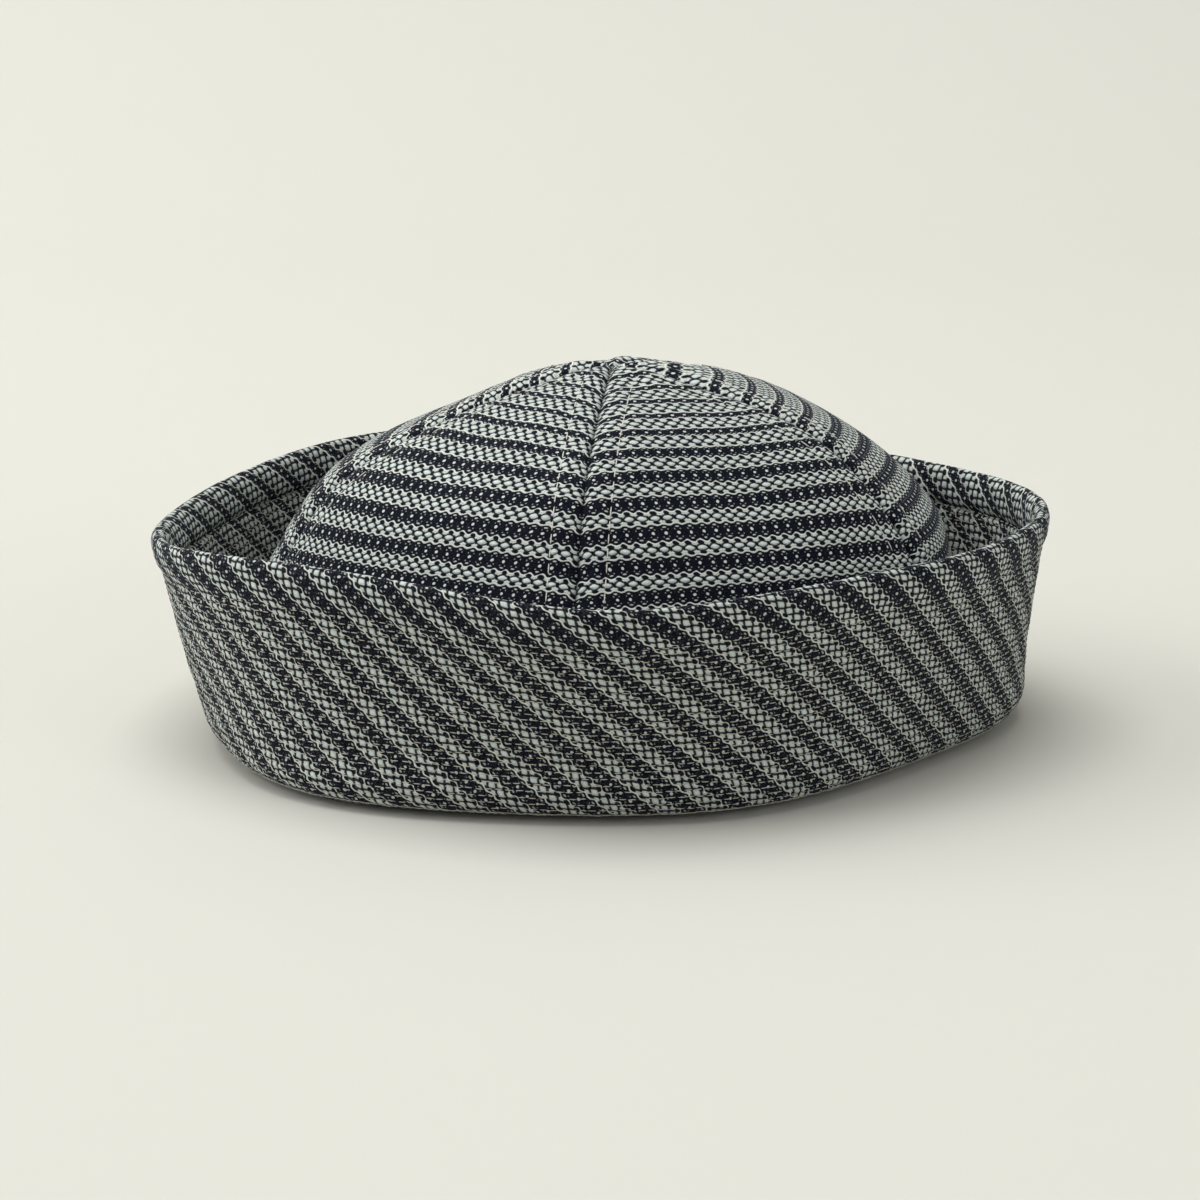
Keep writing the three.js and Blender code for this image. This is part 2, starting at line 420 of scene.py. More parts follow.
@dataclass(frozen=True)
class DobbyCloth:
    """Navy cloth with woven stripes of pale lozenges between wavy lines. Distances are millimetres.

    The UV map holds millimetres on the flat cloth. Figures sit in columns along a stripe, and their
    places down it are shares of the stripe's period, measured from the row of big dots. Each dark hollow
    beside a lozenge is (place, width, height), with the place as a share of the period from the lozenge;
    at place 0 it lies between two lozenges. The point attribute crease darkens the cloth with painted
    shade inside a seam and in the groove under the brim's rolled edge, and widen is how far each edge of
    a pale stripe spreads, as a share of the period.
    """

    name: str
    phase: float
    period: float = 7.4
    spacing: float = 3.0
    drift: float = 0.1
    lozenge_width: float = 2.15
    lozenge_height: float = 1.2
    lozenge_shape: Shape = Shape.LOZENGE
    ring_width: float = 3.7
    ring_height: float = 2.25
    ring_strength: float = 0.95
    hollows: tuple[tuple[float, float, float], ...] = (
        (-0.164, 1.45, 1.1),
        (0.0, 0.8, 1.3),
        (0.156, 1.6, 0.86),
    )
    hollow_lean: float = 0.3
    dot_width: float = 0.76
    dot_height: float = 0.7
    dash_width: float = 0.84
    dash_height: float = 0.38
    speck_width: float = 0.32
    mark_strength: float = 1.0
    top_place: float = 0.219
    top_wave: float = 0.09
    bottom_place: float = 0.778
    bottom_wave: float = 0.06
    lozenge_place: float = 0.505
    dash_place: float = 0.195
    speck_place: float = 0.12
    speck_spread: float = 0.22
    top_gaps: tuple[float, ...] = (0.062, 0.115)
    bottom_gap: float = 0.068
    gap_width: float = 0.02
    gap_strength: float = 0.35
    yarn_place: float = 0.028
    yarn_width: float = 0.05
    unevenness: float = 0.12
    spread: float = 3.6
    flecks: float = 0.03
    edge: float = 0.13
    yarn: float = 0.3
    rib_pitch: float = 0.42
    wander: float = 0.8
    navy: tuple[float, float, float, float] = linear(6, 9, 25)
    lozenge_colour: tuple[float, float, float, float] = linear(199, 209, 204)
    line_colour: tuple[float, float, float, float] = linear(189, 194, 187)
    dot_colour: tuple[float, float, float, float] = linear(205, 212, 207)

    def figures(self, graph: Graph, along: Socket, up: Socket) -> dict[str, Socket]:
        """Draw the woven figures.

        Args:
            graph: the material's graph.
            along: millimetres along the stripes.
            up: millimetres across them.

        Returns:
            The masks of the lozenges, lines and marks, the rounded heights of the lozenges and lines,
            and a chance value for each lozenge.
        """
        place = graph.math("ADD", graph.math("DIVIDE", up, -self.period), self.phase)
        slide = graph.times(place, self.drift)
        column = graph.math("ADD", graph.math("DIVIDE", along, self.spacing), slide)
        from_column = graph.minus(column, graph.math("ROUND", column))
        from_dots = graph.times(from_column, self.spacing)
        cell_column = graph.math("FLOOR", column)
        middle = graph.math("ADD", cell_column, 0.5)
        from_lozenge = graph.times(graph.minus(column, middle), self.spacing)
        row = graph.math("FLOOR", place)
        share = graph.minus(place, row)
        from_whole = graph.minus(place, graph.math("ROUND", place))
        from_row = graph.times(from_whole, self.period)
        turn = graph.math("COSINE", graph.times(column, 2 * math.pi))
        trough = graph.math("MULTIPLY_ADD", turn, 0.5, 0.5)

        def edge(start: float, reach: float, power: float) -> Socket:
            """Return a wavy edge as a share of the period, from over a lozenge to the dots' column."""
            return graph.math("MULTIPLY_ADD", graph.math("POWER", trough, power), reach, start)

        widen = graph.node("ShaderNodeAttribute", attribute_name="widen").outputs["Fac"]
        top = graph.minus(edge(self.top_place, self.top_wave, 0.8), widen)
        bottom = graph.math("ADD", edge(self.bottom_place, -self.bottom_wave, 1.0), widen)
        under_top = graph.minus(share, top)
        over_bottom = graph.minus(bottom, share)

        def band(soft: float) -> Socket:
            """Return the mask between the wavy edges, blurred by a width in millimetres."""
            blur = 0.5 * soft / self.period
            return graph.times(graph.rise(under_top, blur), graph.rise(over_bottom, blur))

        down = graph.times(graph.minus(share, self.lozenge_place), self.period)
        down = graph.math("DIVIDE", down, graph.math("MULTIPLY_ADD", widen, self.spread, 1.0))
        lozenge = graph.reach(from_lozenge, down, self.lozenge_width, self.lozenge_height, self.lozenge_shape)
        ring = graph.reach(from_lozenge, down, self.ring_width, self.ring_height, Shape.DIAMOND)
        deep = graph.times(graph.inside(ring, 0.12), self.ring_strength)
        for place_down, width, height in self.hollows:
            from_hollow = graph.minus(down, place_down * self.period)
            across = from_lozenge if place_down else from_dots
            leaning = graph.math("MULTIPLY_ADD", from_hollow, -self.hollow_lean, across)
            hollow = graph.reach(leaning, from_hollow, width, height, Shape.ELLIPSE)
            deep = graph.larger(deep, graph.inside(hollow, 0.18))
        solid = graph.minus(1.0, deep)
        gaps = graph.hairline(over_bottom, self.bottom_gap, self.gap_width)
        for where in self.top_gaps:
            gaps = graph.larger(gaps, graph.hairline(under_top, where, self.gap_width))
        lines = graph.times(band(self.edge), solid)
        lines = graph.times(lines, graph.math("MULTIPLY_ADD", gaps, -self.gap_strength, 1.0))
        line_dome = graph.times(band(2 * self.yarn), solid)
        outer_yarn = graph.larger(
            graph.hairline(under_top, self.yarn_place, self.yarn_width),
            graph.hairline(over_bottom, self.yarn_place, self.yarn_width),
        )

        dot = graph.reach(from_dots, from_row, self.dot_width, self.dot_height, Shape.ELLIPSE)
        marks = graph.inside(dot, self.edge / self.dot_width)
        beside_row = graph.math("ABSOLUTE", from_row)
        to_dash = graph.minus(beside_row, self.dash_place * self.period)
        dash = graph.reach(from_dots, to_dash, self.dash_width, self.dash_height, Shape.ELLIPSE)
        dash = graph.times(graph.inside(dash, self.edge / self.dash_height), 0.75)
        marks = graph.larger(marks, dash)
        to_speck = graph.minus(beside_row, self.speck_place * self.period)
        from_speck = graph.minus(graph.math("ABSOLUTE", from_dots), self.speck_spread * self.spacing)
        speck = graph.reach(from_speck, to_speck, self.speck_width, self.speck_width, Shape.ELLIPSE)
        speck = graph.times(graph.inside(speck, self.edge / self.speck_width), 0.45)
        marks = graph.times(graph.larger(marks, speck), self.mark_strength)

        cell = graph.node("ShaderNodeCombineXYZ")
        graph.feed(cell.inputs[0], cell_column)
        graph.feed(cell.inputs[1], row)
        chance = graph.node("ShaderNodeTexWhiteNoise", noise_dimensions="2D")
        graph.feed(chance.inputs["Vector"], cell.outputs[0])
        return {
            "lozenge": graph.inside(lozenge, self.edge / self.lozenge_height),
            "lozenge_dome": graph.dome(lozenge),
            "lines": lines,
            "line_dome": line_dome,
            "outer_yarn": outer_yarn,
            "marks": marks,
            "chance": chance.outputs["Value"],
        }

    def build(self) -> bpy.types.Material:
        """Make the material.

        Returns:
            The cloth with its weave, fibre and relief.
        """
        material = bpy.data.materials.new(self.name)
        material.use_nodes = True
        graph = Graph(material.node_tree)
        shader = material.node_tree.nodes["Principled BSDF"]
        flat = graph.node("ShaderNodeUVMap", uv_map="cloth").outputs[0]
        drawn = graph.node("ShaderNodeTexNoise")
        graph.feed(drawn.inputs["Vector"], flat)
        drawn.inputs["Scale"].default_value = 0.45
        drawn.inputs["Detail"].default_value = 3.0
        shift = graph.node("ShaderNodeVectorMath", operation="MULTIPLY_ADD")
        graph.feed(shift.inputs[0], drawn.outputs["Color"])
        shift.inputs[1].default_value = (self.wander, 0.8 * self.wander, 0.0)
        graph.feed(shift.inputs[2], flat)
        parts = graph.node("ShaderNodeSeparateXYZ")
        graph.feed(parts.inputs[0], shift.outputs[0])
        along, up = parts.outputs[0], parts.outputs[1]
        figure = self.figures(graph, along, up)

        fibre = graph.noise(flat, 3.2, 3.0)
        cloudy = graph.noise(flat, 0.05, 3.0)
        drawn_out = graph.node("ShaderNodeVectorMath", operation="MULTIPLY")
        graph.feed(drawn_out.inputs[0], flat)
        drawn_out.inputs[1].default_value = (1.3, 7.0, 0.0)
        streaks = graph.noise(drawn_out.outputs[0], 1.0, 2.0)
        rib_up = graph.math("SINE", graph.times(up, 2 * math.pi / self.rib_pitch))
        rib_along = graph.math("SINE", graph.times(along, 2 * math.pi / self.rib_pitch))
        ribs = graph.times(rib_up, rib_along)

        uneven = graph.math("MULTIPLY_ADD", figure["chance"], self.unevenness, 1 - self.unevenness)
        lozenge_share = graph.times(figure["lozenge"], uneven)
        fleck = graph.times(graph.rise(graph.minus(streaks, 0.58), 0.05), self.flecks)
        colour = graph.mix(fleck, self.navy, self.dot_colour)
        colour = graph.mix(figure["lines"], colour, self.line_colour)
        colour = graph.mix(lozenge_share, colour, self.lozenge_colour)
        colour = graph.mix(figure["marks"], colour, self.dot_colour)
        # Painted shade: the rounded heights make the lozenges and lines lighter on their tops and darker
        # towards their edges.
        relief = graph.larger(figure["lozenge_dome"], figure["line_dome"])
        tone = graph.total(
            graph.times(relief, 0.34),
            graph.times(fibre, 0.42),
            graph.times(streaks, 0.7),
            graph.times(cloudy, 0.2),
            graph.times(ribs, 0.06),
            graph.times(figure["marks"], 0.2),
            graph.times(figure["outer_yarn"], 0.12),
            0.17,
        )
        # Painted shade in the crown seams and in the brim's groove, read from the crease attribute.
        crease = graph.node("ShaderNodeAttribute", attribute_name="crease").outputs["Fac"]
        tone = graph.times(tone, graph.minus(1.0, crease))
        shade = graph.node("ShaderNodeVectorMath", operation="SCALE")
        graph.feed(shade.inputs[0], colour)
        graph.feed(shade.inputs["Scale"], tone)
        graph.feed(shader.inputs["Base Color"], shade.outputs[0])

        height = graph.total(
            graph.times(figure["lozenge_dome"], 0.30),
            graph.times(figure["line_dome"], 0.2),
            graph.times(figure["marks"], 0.12),
            graph.times(ribs, 0.03),
            graph.times(streaks, 0.15),
            graph.times(fibre, 0.1),
        )
        bump = graph.node("ShaderNodeBump")
        bump.inputs["Strength"].default_value = 0.9
        bump.inputs["Distance"].default_value = 1.0 * MM
        graph.feed(bump.inputs["Height"], height)
        graph.feed(shader.inputs["Normal"], bump.outputs[0])
        rough = graph.math("MULTIPLY_ADD", fibre, 0.2, 0.72)
        graph.feed(shader.inputs["Roughness"], rough)
        shader.inputs["Specular IOR Level"].default_value = 0.08
        shader.inputs["Sheen Weight"].default_value = 0.1
        shader.inputs["Sheen Tint"].default_value = linear(150, 165, 200)
        shader.inputs["Sheen Roughness"].default_value = 0.35
        return material


@dataclass(frozen=True)
class Thread:
    """Matt sewing thread with a visible twist."""

    name: str
    colour: tuple[float, float, float, float] = linear(205, 200, 184)
    dark: tuple[float, float, float, float] = linear(160, 155, 140)
    twist_scale: float = 3200.0

    def build(self) -> bpy.types.Material:
        """Make the material."""
        material = bpy.data.materials.new(self.name)
        material.use_nodes = True
        graph = Graph(material.node_tree)
        shader = material.node_tree.nodes["Principled BSDF"]
        where = graph.node("ShaderNodeTexCoord").outputs["Object"]
        fibre = graph.noise(where, self.twist_scale)
        graph.feed(shader.inputs["Base Color"], graph.mix(fibre, self.dark, self.colour))
        bump = graph.node("ShaderNodeBump")
        bump.inputs["Strength"].default_value = 0.4
        bump.inputs["Distance"].default_value = 0.1 * MM
        graph.feed(bump.inputs["Height"], fibre)
        graph.feed(shader.inputs["Normal"], bump.outputs[0])
        shader.inputs["Roughness"].default_value = 0.7
        shader.inputs["Sheen Weight"].default_value = 0.2
        return material


@dataclass(frozen=True)
class Station:
    """One place on the closed section of the brim.

    share is the height as a share of the rise, inwards the distance in from the plain outer face, and
    path the distance along the cloth from the fold, all but share in millimetres. A station under the
    fold has no share and gives its height instead.
    """

    share: float
    inwards: float
    path: float
    height: float | None = None


@dataclass
class Brim:
    """The doubled band with its rolled edge, stitched in close rows from the edge to the fold."""

    shape: BrimShape
    centre: Vector
    columns: int = 400
    row_pitch: float = 1.58
    row_count: int = 28
    row_depth: float = 0.16
    stripe_slope: float = 41.0
    turn_under: float = 7.5
    fold_lift: float = 0.8
    fold_lifts: tuple[float, ...] = (0.2, 0.7, 1.4)
    edge_steps: int = 20
    swell_between: float = 0.6
    broad_waver: float = 0.7
    fine_waver: float = 0.28
    join_depth: float = 0.5
    join_width: float = 0.9
    fold_bulge: float = 4.0
    bulge_height: float = 18.0
    groove_depth: float = 0.8
    groove_shade: float = 0.6
    inner_widening: float = 0.085
    join_azimuth: float = 180.0
    stations: list[Station] = field(init=False)

    def __post_init__(self) -> None:
        """Lay out the section."""
        self.stations = self.section()

    def row_share(self, row: float) -> float:
        """Return the height share of a row of stitches, or of a place between two rows."""
        return 1 - (self.shape.rolled_depth + self.row_pitch * row) / self.shape.depth

    def dip(self, step: int, outside: bool) -> float:
        """Return how deep the cloth is drawn in at a row of stitches or swells out between two rows."""
        if step == 0:
            return self.row_depth if outside else self.groove_depth
        return self.row_depth if step % 2 == 0 else -self.swell_between * self.row_depth

    def bulge(self, azimuth: float, height: float) -> float:
        """Return how far the soft fold swells out at the front, in millimetres."""
        forward = max(math.cos(math.radians(azimuth)), 0.0) ** 2
        return self.fold_bulge * forward * (1 - smooth_step(height, 0.0, self.bulge_height))

    def rounding(self, height: float) -> float:
        """Return how far the outer face lies inside its plain line at a height, where it turns under."""
        short = max(self.turn_under + self.fold_lift - height, 0.0)
        return self.turn_under - math.sqrt(self.turn_under ** 2 - short ** 2)

    def section(self) -> list[Station]:
        """Lay out the closed section from the fold up the outer face, over the edge and down inside.

        Returns:
            The stations in order, with the first one repeated at the end.
        """
        shape = self.shape
        steps = 2 * (self.row_count - 1)
        stations = [Station(0, self.turn_under, -self.turn_under, self.fold_lift)]
        for lift in self.fold_lifts:
            height = self.fold_lift + lift
            stations.append(Station(0, self.rounding(height), height - 1.5, height))
        for step in range(steps, -1, -1):
            share = self.row_share(step / 2)
            stations.append(Station(share, self.dip(step, outside=True), share * shape.depth))
        roll = shape.rolled_depth
        path = self.row_share(0) * shape.depth
        last_up, last_inwards = 0.0, self.dip(0, outside=True)
        for step in range(1, self.edge_steps):
            turn = math.pi * step / self.edge_steps
            up = math.sin(turn)
            swell = 0.5 * (shape.wall + (shape.rolled_wall - shape.wall) * smooth_step(up, 0, 0.35))
            half = swell * math.sqrt(max(0.0, 1 - max(0.0, (up - 0.6) / 0.4) ** 2.2))
            inwards = 0.5 * shape.wall - math.copysign(half, math.cos(turn))
            path += math.hypot(roll * (up - last_up), inwards - last_inwards)
            last_up, last_inwards = up, inwards
            stations.append(Station(self.row_share(0) + roll / shape.depth * up, inwards, path))
        top_path = path + roll * last_up
        for step in range(steps + 1):
            share = self.row_share(step / 2)
            below = (self.row_share(0) - share) * shape.depth
            stations.append(Station(share, shape.wall - self.dip(step, outside=False), top_path + below))
        path = stations[-1].path
        turning = shape.turning_width
        stations.append(Station(0, shape.wall, path + 1.0, shape.turning_thickness))
        stations.append(Station(0, turning, path + 6.0, 0.7 * shape.turning_thickness))
        stations.append(Station(0, turning + 0.3, path + 7.0, 0.35 * shape.turning_thickness))
        stations.append(Station(0, turning, path + 8.0, 0.0))
        stations.append(Station(0, self.turn_under, path + 11.0, 0.0))
        stations.append(stations[0])
        return stations

    def point(self, azimuth: float, station: Station, lift: float = 0.0) -> Vector:
        """Return a point of the band in metres.

        Args:
            azimuth: angle round the cap.
            station: place on the section.
            lift: extra distance in towards the middle of the cap.

        Returns:
            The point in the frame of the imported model.
        """
        if station.height is None:
            radius = self.shape.face_radius(azimuth, station.share)
            height = self.shape.rise(azimuth) * station.share
            if station.inwards < 0.5 * self.shape.wall:
                radius -= self.rounding(height)
        else:
            radius = self.shape.fold_radius(azimuth)
            height = station.height
        if station.path < self.shape.depth:
            radius += self.bulge(azimuth, height)
        return (around(azimuth, radius - station.inwards - lift, height) - self.centre) * MM

    def waver(self, azimuth: float, station: Station) -> float:
        """Return how far the soft band wanders in or out at a place, in millimetres."""
        turn = math.radians(azimuth)
        place = Vector((2.6 * math.sin(turn), 2.6 * math.cos(turn), 1.8 * station.share))
        broad = noise.noise(place * 1.4)
        fine = noise.noise(place * 6.5 + Vector((7.3, 0, 0)))
        wander = self.broad_waver * broad + self.fine_waver * fine
        return wander * smooth_step(station.share, 0.0, 0.25)

    def around_lengths(self) -> list[float]:
        """Return the distance round the band from the join to each column, in millimetres."""
        lengths = [0.0]
        for column in range(self.columns):
            here, there = (self.azimuth(step) for step in (column, column + 1))
            start = around(here, self.shape.face_radius(here, 0.6), 0)
            end = around(there, self.shape.face_radius(there, 0.6), 0)
            lengths.append(lengths[-1] + (end - start).length)
        return lengths

    def azimuth(self, column: int) -> float:
        """Return the azimuth of a column, counted from the join at the back."""
        return self.join_azimuth + FULL_TURN * column / self.columns

    def build(self, cloth: bpy.types.Material) -> bpy.types.Object:
        """Make the band.

        Args:
            cloth: its finish.

        Returns:
            The band, which stands for the CAD brim.
        """
        rows = len(self.stations) - 1
        band = bmesh.new()
        bmesh.ops.create_grid(band, x_segments=self.columns, y_segments=rows, size=1.0)
        lengths = self.around_lengths()
        slope = math.radians(self.stripe_slope)
        flat: dict[int, tuple[float, float]] = {}
        shade = band.verts.layers.float.new("crease")
        widen = band.verts.layers.float.new("widen")
        band.verts.index_update()
        for vertex in band.verts:
            column = round((vertex.co.x + 1) / 2 * self.columns)
            station = self.stations[round((vertex.co.y + 1) / 2 * rows)]
            azimuth = self.azimuth(column)
            along, up = lengths[column], station.path
            flat[vertex.index] = (
                along * math.cos(slope) - up * math.sin(slope),
                along * math.sin(slope) + up * math.cos(slope),
            )
            from_join = min(along, lengths[-1] - along)
            outwards = 1 if station.inwards < 0.5 * self.shape.wall else -1
            # Painted shade on the inner face, in the groove under the rolled edge.
            if station.share == self.row_share(0) and outwards < 0:
                vertex[shade] = self.groove_shade
            if outwards < 0 and station.share > 0:
                vertex[widen] = self.inner_widening
            join = self.join_depth * math.exp(-(from_join / self.join_width) ** 2) * outwards
            vertex.co = self.point(azimuth, station, join - self.waver(azimuth, station))
        layer = band.loops.layers.uv.new("cloth")
        for face in band.faces:
            for loop in face.loops:
                loop[layer].uv = flat[loop.vert.index]
        bmesh.ops.remove_doubles(band, verts=band.verts, dist=0.01 * MM)
        bmesh.ops.recalc_face_normals(band, faces=band.faces)
        piece = mesh_object("brim_band", band, cloth)
        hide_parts("brim")
        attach(piece, "root")
        return piece


@dataclass
class Stitches:
    """Many short thread ends, copied from one shape into one joined mesh. Sizes are millimetres."""

    length: float
    width: float
    thickness: float

    def unit(self) -> tuple[np.ndarray, list[list[int]]]:
        """Return the points and faces of one stitch that lies along X with its top at +Z."""
        bead = bmesh.new()
        bmesh.ops.create_uvsphere(bead, u_segments=5, v_segments=4, radius=0.5)
        turned = ((v.co.z * self.length, v.co.x * self.width, v.co.y * self.thickness) for v in bead.verts)
        points = np.array(list(turned)) * MM
        bead.verts.index_update()
        faces = [[vertex.index for vertex in face.verts] for face in bead.faces]
        bead.free()
        return points, faces

    def build(
        self, name: str, places: list[tuple[Vector, Vector, Vector]], thread: bpy.types.Material
    ) -> bpy.types.Object:
        """Copy the stitch to every place.

        Args:
            name: name of the piece.
            places: centre, direction and outward direction of each stitch, in metres.
            thread: the finish.

        Returns:
            The joined stitches.
        """
        points, faces = self.unit()
        centres = np.array([place[0] for place in places])
        ahead = np.array([place[1].normalized() for place in places])
        out = np.array([place[2].normalized() for place in places])
        out -= ahead * np.sum(out * ahead, axis=1, keepdims=True)
        out /= np.linalg.norm(out, axis=1, keepdims=True)
        beside = np.cross(out, ahead)
        turns = np.stack((ahead, beside, out), axis=1)
        copies = centres[:, None, :] + np.einsum("pk,nkc->npc", points, turns)
        joined = [
            [index + copy * len(points) for index in face]
            for copy in range(len(places))
            for face in faces
        ]
        mesh = bpy.data.meshes.new(name)
        mesh.from_pydata(copies.reshape(-1, 3).tolist(), [], joined)
        mesh.polygons.foreach_set("use_smooth", [True] * len(joined))
        mesh.update()
        mesh.materials.append(thread)
        piece = bpy.data.objects.new(name, mesh)
        bpy.context.scene.collection.objects.link(piece)
        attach(piece, "root")
        return piece


@dataclass
class BrimStitching:
    """Close rows of running stitch that hold the two layers of the brim together."""

    brim: Brim
    pitch: float = 2.5
    slant: float = 0.05
    proud: float = 0.04
    stitch: Stitches = field(default_factory=lambda: Stitches(1.8, 0.27, 0.26))

    def places(self, side: Side) -> list[tuple[Vector, Vector, Vector]]:
        """Return where the stitches of one face lie.

        Args:
            side: the face.

        Returns:
            Centre, direction and outward direction of each stitch.
        """
        shape = self.brim.shape
        chooser = random.Random(11 if side is Side.OUTER else 23)
        length = self.brim.around_lengths()[-1]
        count = round(length / self.pitch)
        found = []
        for row in range(self.brim.row_count):
            share = self.brim.row_share(row)
            inwards = self.brim.row_depth
            if side is Side.INNER:
                inwards = shape.wall - inwards
            station = Station(share, inwards, 0)
            start = chooser.random()
            for number in range(count):
                step = number + start + chooser.uniform(-0.07, 0.07)
                azimuth = self.brim.join_azimuth + FULL_TURN * step / count
                slip = Station(share + chooser.uniform(-0.002, 0.002), inwards, 0)
                here = self.brim.point(azimuth, slip, -self.brim.waver(azimuth, slip))
                ahead = self.brim.point(azimuth + 0.5, station) - self.brim.point(azimuth - 0.5, station)
                above = self.brim.point(azimuth, Station(share + 0.02, inwards, 0))
                up = above - self.brim.point(azimuth, station)
                out = ahead.cross(up) * side.value
                here += out.normalized() * self.proud * MM
                slant = chooser.uniform(-self.slant, self.slant)
                found.append((here, ahead + up.normalized() * slant * ahead.length, out))
        return found

    def build(self, thread: bpy.types.Material) -> list[bpy.types.Object]:
        """Sew both faces and return the two joined pieces."""
        return [
            self.stitch.build(f"brim_stitches_{side.name.lower()}", self.places(side), thread)
            for side in Side
        ]


@dataclass
class StripeGuide:
    """Where the stripes run on every gore, so that they meet at the seams. Millimetres.

    Each pair in dips is a distance down from the tip and how much lower a stripe is at the seams there.
    """

    shape: CrownShape
    dips: tuple[tuple[float, float], ...] = ((0.0, 0.0), (20.0, 0.2), (40.0, -0.5), (62.0, 0.2), (85.0, 1.7))
    droop: float = 2.0
    curl: float = 0.6
    curl_width: float = 1.5
    samples: int = 240
    shares: np.ndarray = field(init=False)
    reach: np.ndarray = field(init=False)
    up: np.ndarray = field(init=False)
    dip: np.ndarray = field(init=False)

    def __post_init__(self) -> None:
        """Measure the crown down its front seam, from the tip."""
        self.shares = np.linspace(0, 1, self.samples)
        line = np.array([self.shape.surface(FRONT_SEAM_AZIMUTH, share) for share in self.shares])
        self.reach = line[:, 0] * math.radians(0.5 * self.shape.gore_angle)
        self.up = np.concatenate(([0.0], np.cumsum(np.hypot(*np.diff(line, axis=0).T))))
        self.up -= self.up[-1]
        self.dip = np.interp(-self.up, *zip(*self.dips))

    def place(self, azimuth: float, share: float, across: float) -> float:
        """Return how far up the cloth a place lies.

        Args:
            azimuth: angle round the cap.
            share: share of the way up the crown.
            across: place across the gore, from -1 to 1.

        Returns:
            Distance up from the tip, which is negative.
        """
        up = float(np.interp(share, self.shares, self.up))
        dip = float(np.interp(share, self.shares, self.dip))
        turned = 1 - math.cos(math.radians(azimuth - FRONT_SEAM_AZIMUTH))
        to_seam = (1 - abs(across)) * float(np.interp(share, self.shares, self.reach))
        curl = self.curl * math.exp(-(to_seam / self.curl_width) ** 2) * smooth_step(-up, 5.0, 20.0)
        return up + dip * across * across + curl + self.droop * turned * smooth_step(-up, 0.0, 30.0)


